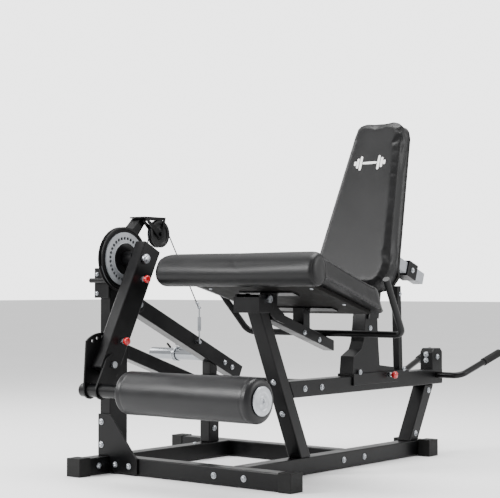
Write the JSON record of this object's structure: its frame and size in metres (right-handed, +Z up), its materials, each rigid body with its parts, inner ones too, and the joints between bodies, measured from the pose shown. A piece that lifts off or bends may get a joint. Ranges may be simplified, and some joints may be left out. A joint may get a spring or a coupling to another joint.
{
  "type": "lying leg curl machine",
  "caption": "Plate-loaded leg extension and lying leg curl bench: foam roller arm on an indexed cam, cable to a weight lever, wide tilting seat and sliding, folding backrest.",
  "frame": {"origin": "middle of the bounding box at floor level", "axes": "+Y runs from the roller end to the rear handlebar, +Z is up, and the weight upright is on the -X side"},
  "size_m": [1.292, 1.8296, 1.3309],
  "materials": {
    "chrome_steel": "bright chrome",
    "grey_steel": "light grey paint",
    "nylon_black": "moulded nylon",
    "plywood": "stained plywood",
    "powder_coat_black": "satin powder coat",
    "red_plastic": "gloss",
    "rubber_black": "matte moulded rubber",
    "steel_rope": "galvanised wire rope",
    "vinyl_black": "grained upholstery vinyl",
    "zinc_steel": "bright zinc plate"
  },
  "bodies": {
    "frame": {"cable": "steel_rope", "cam_shaft": "zinc_steel", "cap_cross_right": "rubber_black", "cap_foot_left": "rubber_black", "cap_foot_right": "rubber_black", "cap_left_front": "rubber_black", "cap_outrigger": "rubber_black", "front_cross_tube": "powder_coat_black", "front_gusset": "powder_coat_black", "grip_left": "rubber_black", "grip_right": "rubber_black", "left_base_tube": "powder_coat_black", "lever_bracket": "powder_coat_black", "lever_bumper": "rubber_black", "lever_pin": "zinc_steel", "mid_cross_tube": "powder_coat_black", "mid_rail": "powder_coat_black", "pulley_bracket": "powder_coat_black", "pulley_mast": "powder_coat_black", "rear_cross_tube": "powder_coat_black", "rear_foot_tube": "powder_coat_black", "rear_handlebar": "powder_coat_black", "rear_post": "powder_coat_black", "seat_hinge_pin": "zinc_steel", "seat_post": "powder_coat_black", "short_post": "powder_coat_black", "spine_tube": "powder_coat_black", "stop_rod": "powder_coat_black", "upright": "powder_coat_black", "upright_brace": "powder_coat_black"},
    "cam_unit": {"cam": "powder_coat_black", "index_plate": "grey_steel"},
    "arm_unit": {"arm": "powder_coat_black", "roller_pivot_bolt": "zinc_steel"},
    "roller_bracket": {"roller_plate_left": "powder_coat_black", "roller_plate_right": "powder_coat_black", "roller_tube": "powder_coat_black", "roller_end_cap": "chrome_steel"},
    "foam": {"roller_foam": "vinyl_black"},
    "lever": {"weight_lever": "powder_coat_black", "weight_horn": "chrome_steel", "turnbuckle": "zinc_steel"},
    "pulley": {"pulley": "nylon_black"},
    "seat": {"seat_pad": "vinyl_black", "seat_board": "plywood", "seat_frame": "powder_coat_black", "seat_handle": "powder_coat_black"},
    "carriage": {"carriage": "powder_coat_black", "back_hinge_pin": "zinc_steel"},
    "backrest": {"back_pad": "vinyl_black", "back_board": "plywood", "back_frame": "powder_coat_black", "back_tube": "grey_steel", "back_clamp": "powder_coat_black"},
    "arm_pin": {"arm_pop_pin": "red_plastic"},
    "roller_pin": {"roller_pop_pin": "red_plastic"},
    "rail_pin": {"rail_pop_pin": "red_plastic"},
    "collar": {"spring_collar": "zinc_steel"}
  },
  "joints": [
    {"name": "cam_turn", "type": "hinge", "parent": "frame", "child": "cam_unit", "pos_m": [-0.30668, -0.61776, 0.78], "axis": [1, 0, 0], "range_deg": [-85, 0], "deforming": ["cable"]},
    {"name": "arm_index", "type": "hinge", "parent": "cam_unit", "child": "arm_unit", "pos_m": [-0.22068, -0.61776, 0.78], "axis": [1, 0, 0], "range_deg": [-100, 0]},
    {"name": "roller_index", "type": "hinge", "parent": "arm_unit", "child": "roller_bracket", "pos_m": [-0.22068, -0.78567, 0.40324], "axis": [1, 0, 0], "range_deg": [-60, 0]},
    {"name": "foam_spin", "type": "hinge", "parent": "roller_bracket", "child": "foam", "pos_m": [0.22731, -0.83976, 0.314], "axis": [1, 0, 0], "continuous": true},
    {"name": "lever_lift", "type": "hinge", "parent": "frame", "child": "lever", "pos_m": [-0.34569, -0.52176, 0.612], "axis": [1, 0, 0], "range_deg": [0, 26]},
    {"name": "pulley_spin", "type": "hinge", "parent": "frame", "child": "pulley", "pos_m": [-0.30668, -0.42376, 0.878], "axis": [1, 0, 0], "range_deg": [0, 197]},
    {"name": "seat_tilt", "type": "hinge", "parent": "frame", "child": "seat", "pos_m": [0.24232, -0.52276, 0.635], "axis": [1, 0, 0], "range_deg": [0, 30]},
    {"name": "carriage_slide", "type": "slide", "parent": "frame", "child": "carriage", "axis": [0, 1, 0], "range_m": [-0.075, 0.1]},
    {"name": "backrest_tilt", "type": "hinge", "parent": "carriage", "child": "backrest", "pos_m": [0.24232, 0.19216, 0.72903], "axis": [1, 0, 0], "range_deg": [-80, 0]},
    {"name": "arm_pin_pull", "type": "slide", "parent": "arm_unit", "child": "arm_pin", "axis": [1, 0, 0], "range_m": [0, 0.012], "stiffness_N_per_m": 600, "springref_m": -0.004},
    {"name": "roller_pin_pull", "type": "slide", "parent": "arm_unit", "child": "roller_pin", "axis": [1, 0, 0], "range_m": [0, 0.012], "stiffness_N_per_m": 600, "springref_m": -0.004},
    {"name": "rail_pin_pull", "type": "slide", "parent": "carriage", "child": "rail_pin", "axis": [1, 0, 0], "range_m": [0, 0.012], "stiffness_N_per_m": 600, "springref_m": -0.004},
    {"name": "collar_slide", "type": "slide", "parent": "lever", "child": "collar", "axis": [1, 0, 0], "range_m": [-0.09, 0.12]}
  ],
  "couplings": [
    {"joint": "lever_lift", "follows": "cam_turn", "ratio": -0.3},
    {"joint": "pulley_spin", "follows": "cam_turn", "ratio": -2.3}
  ]
}
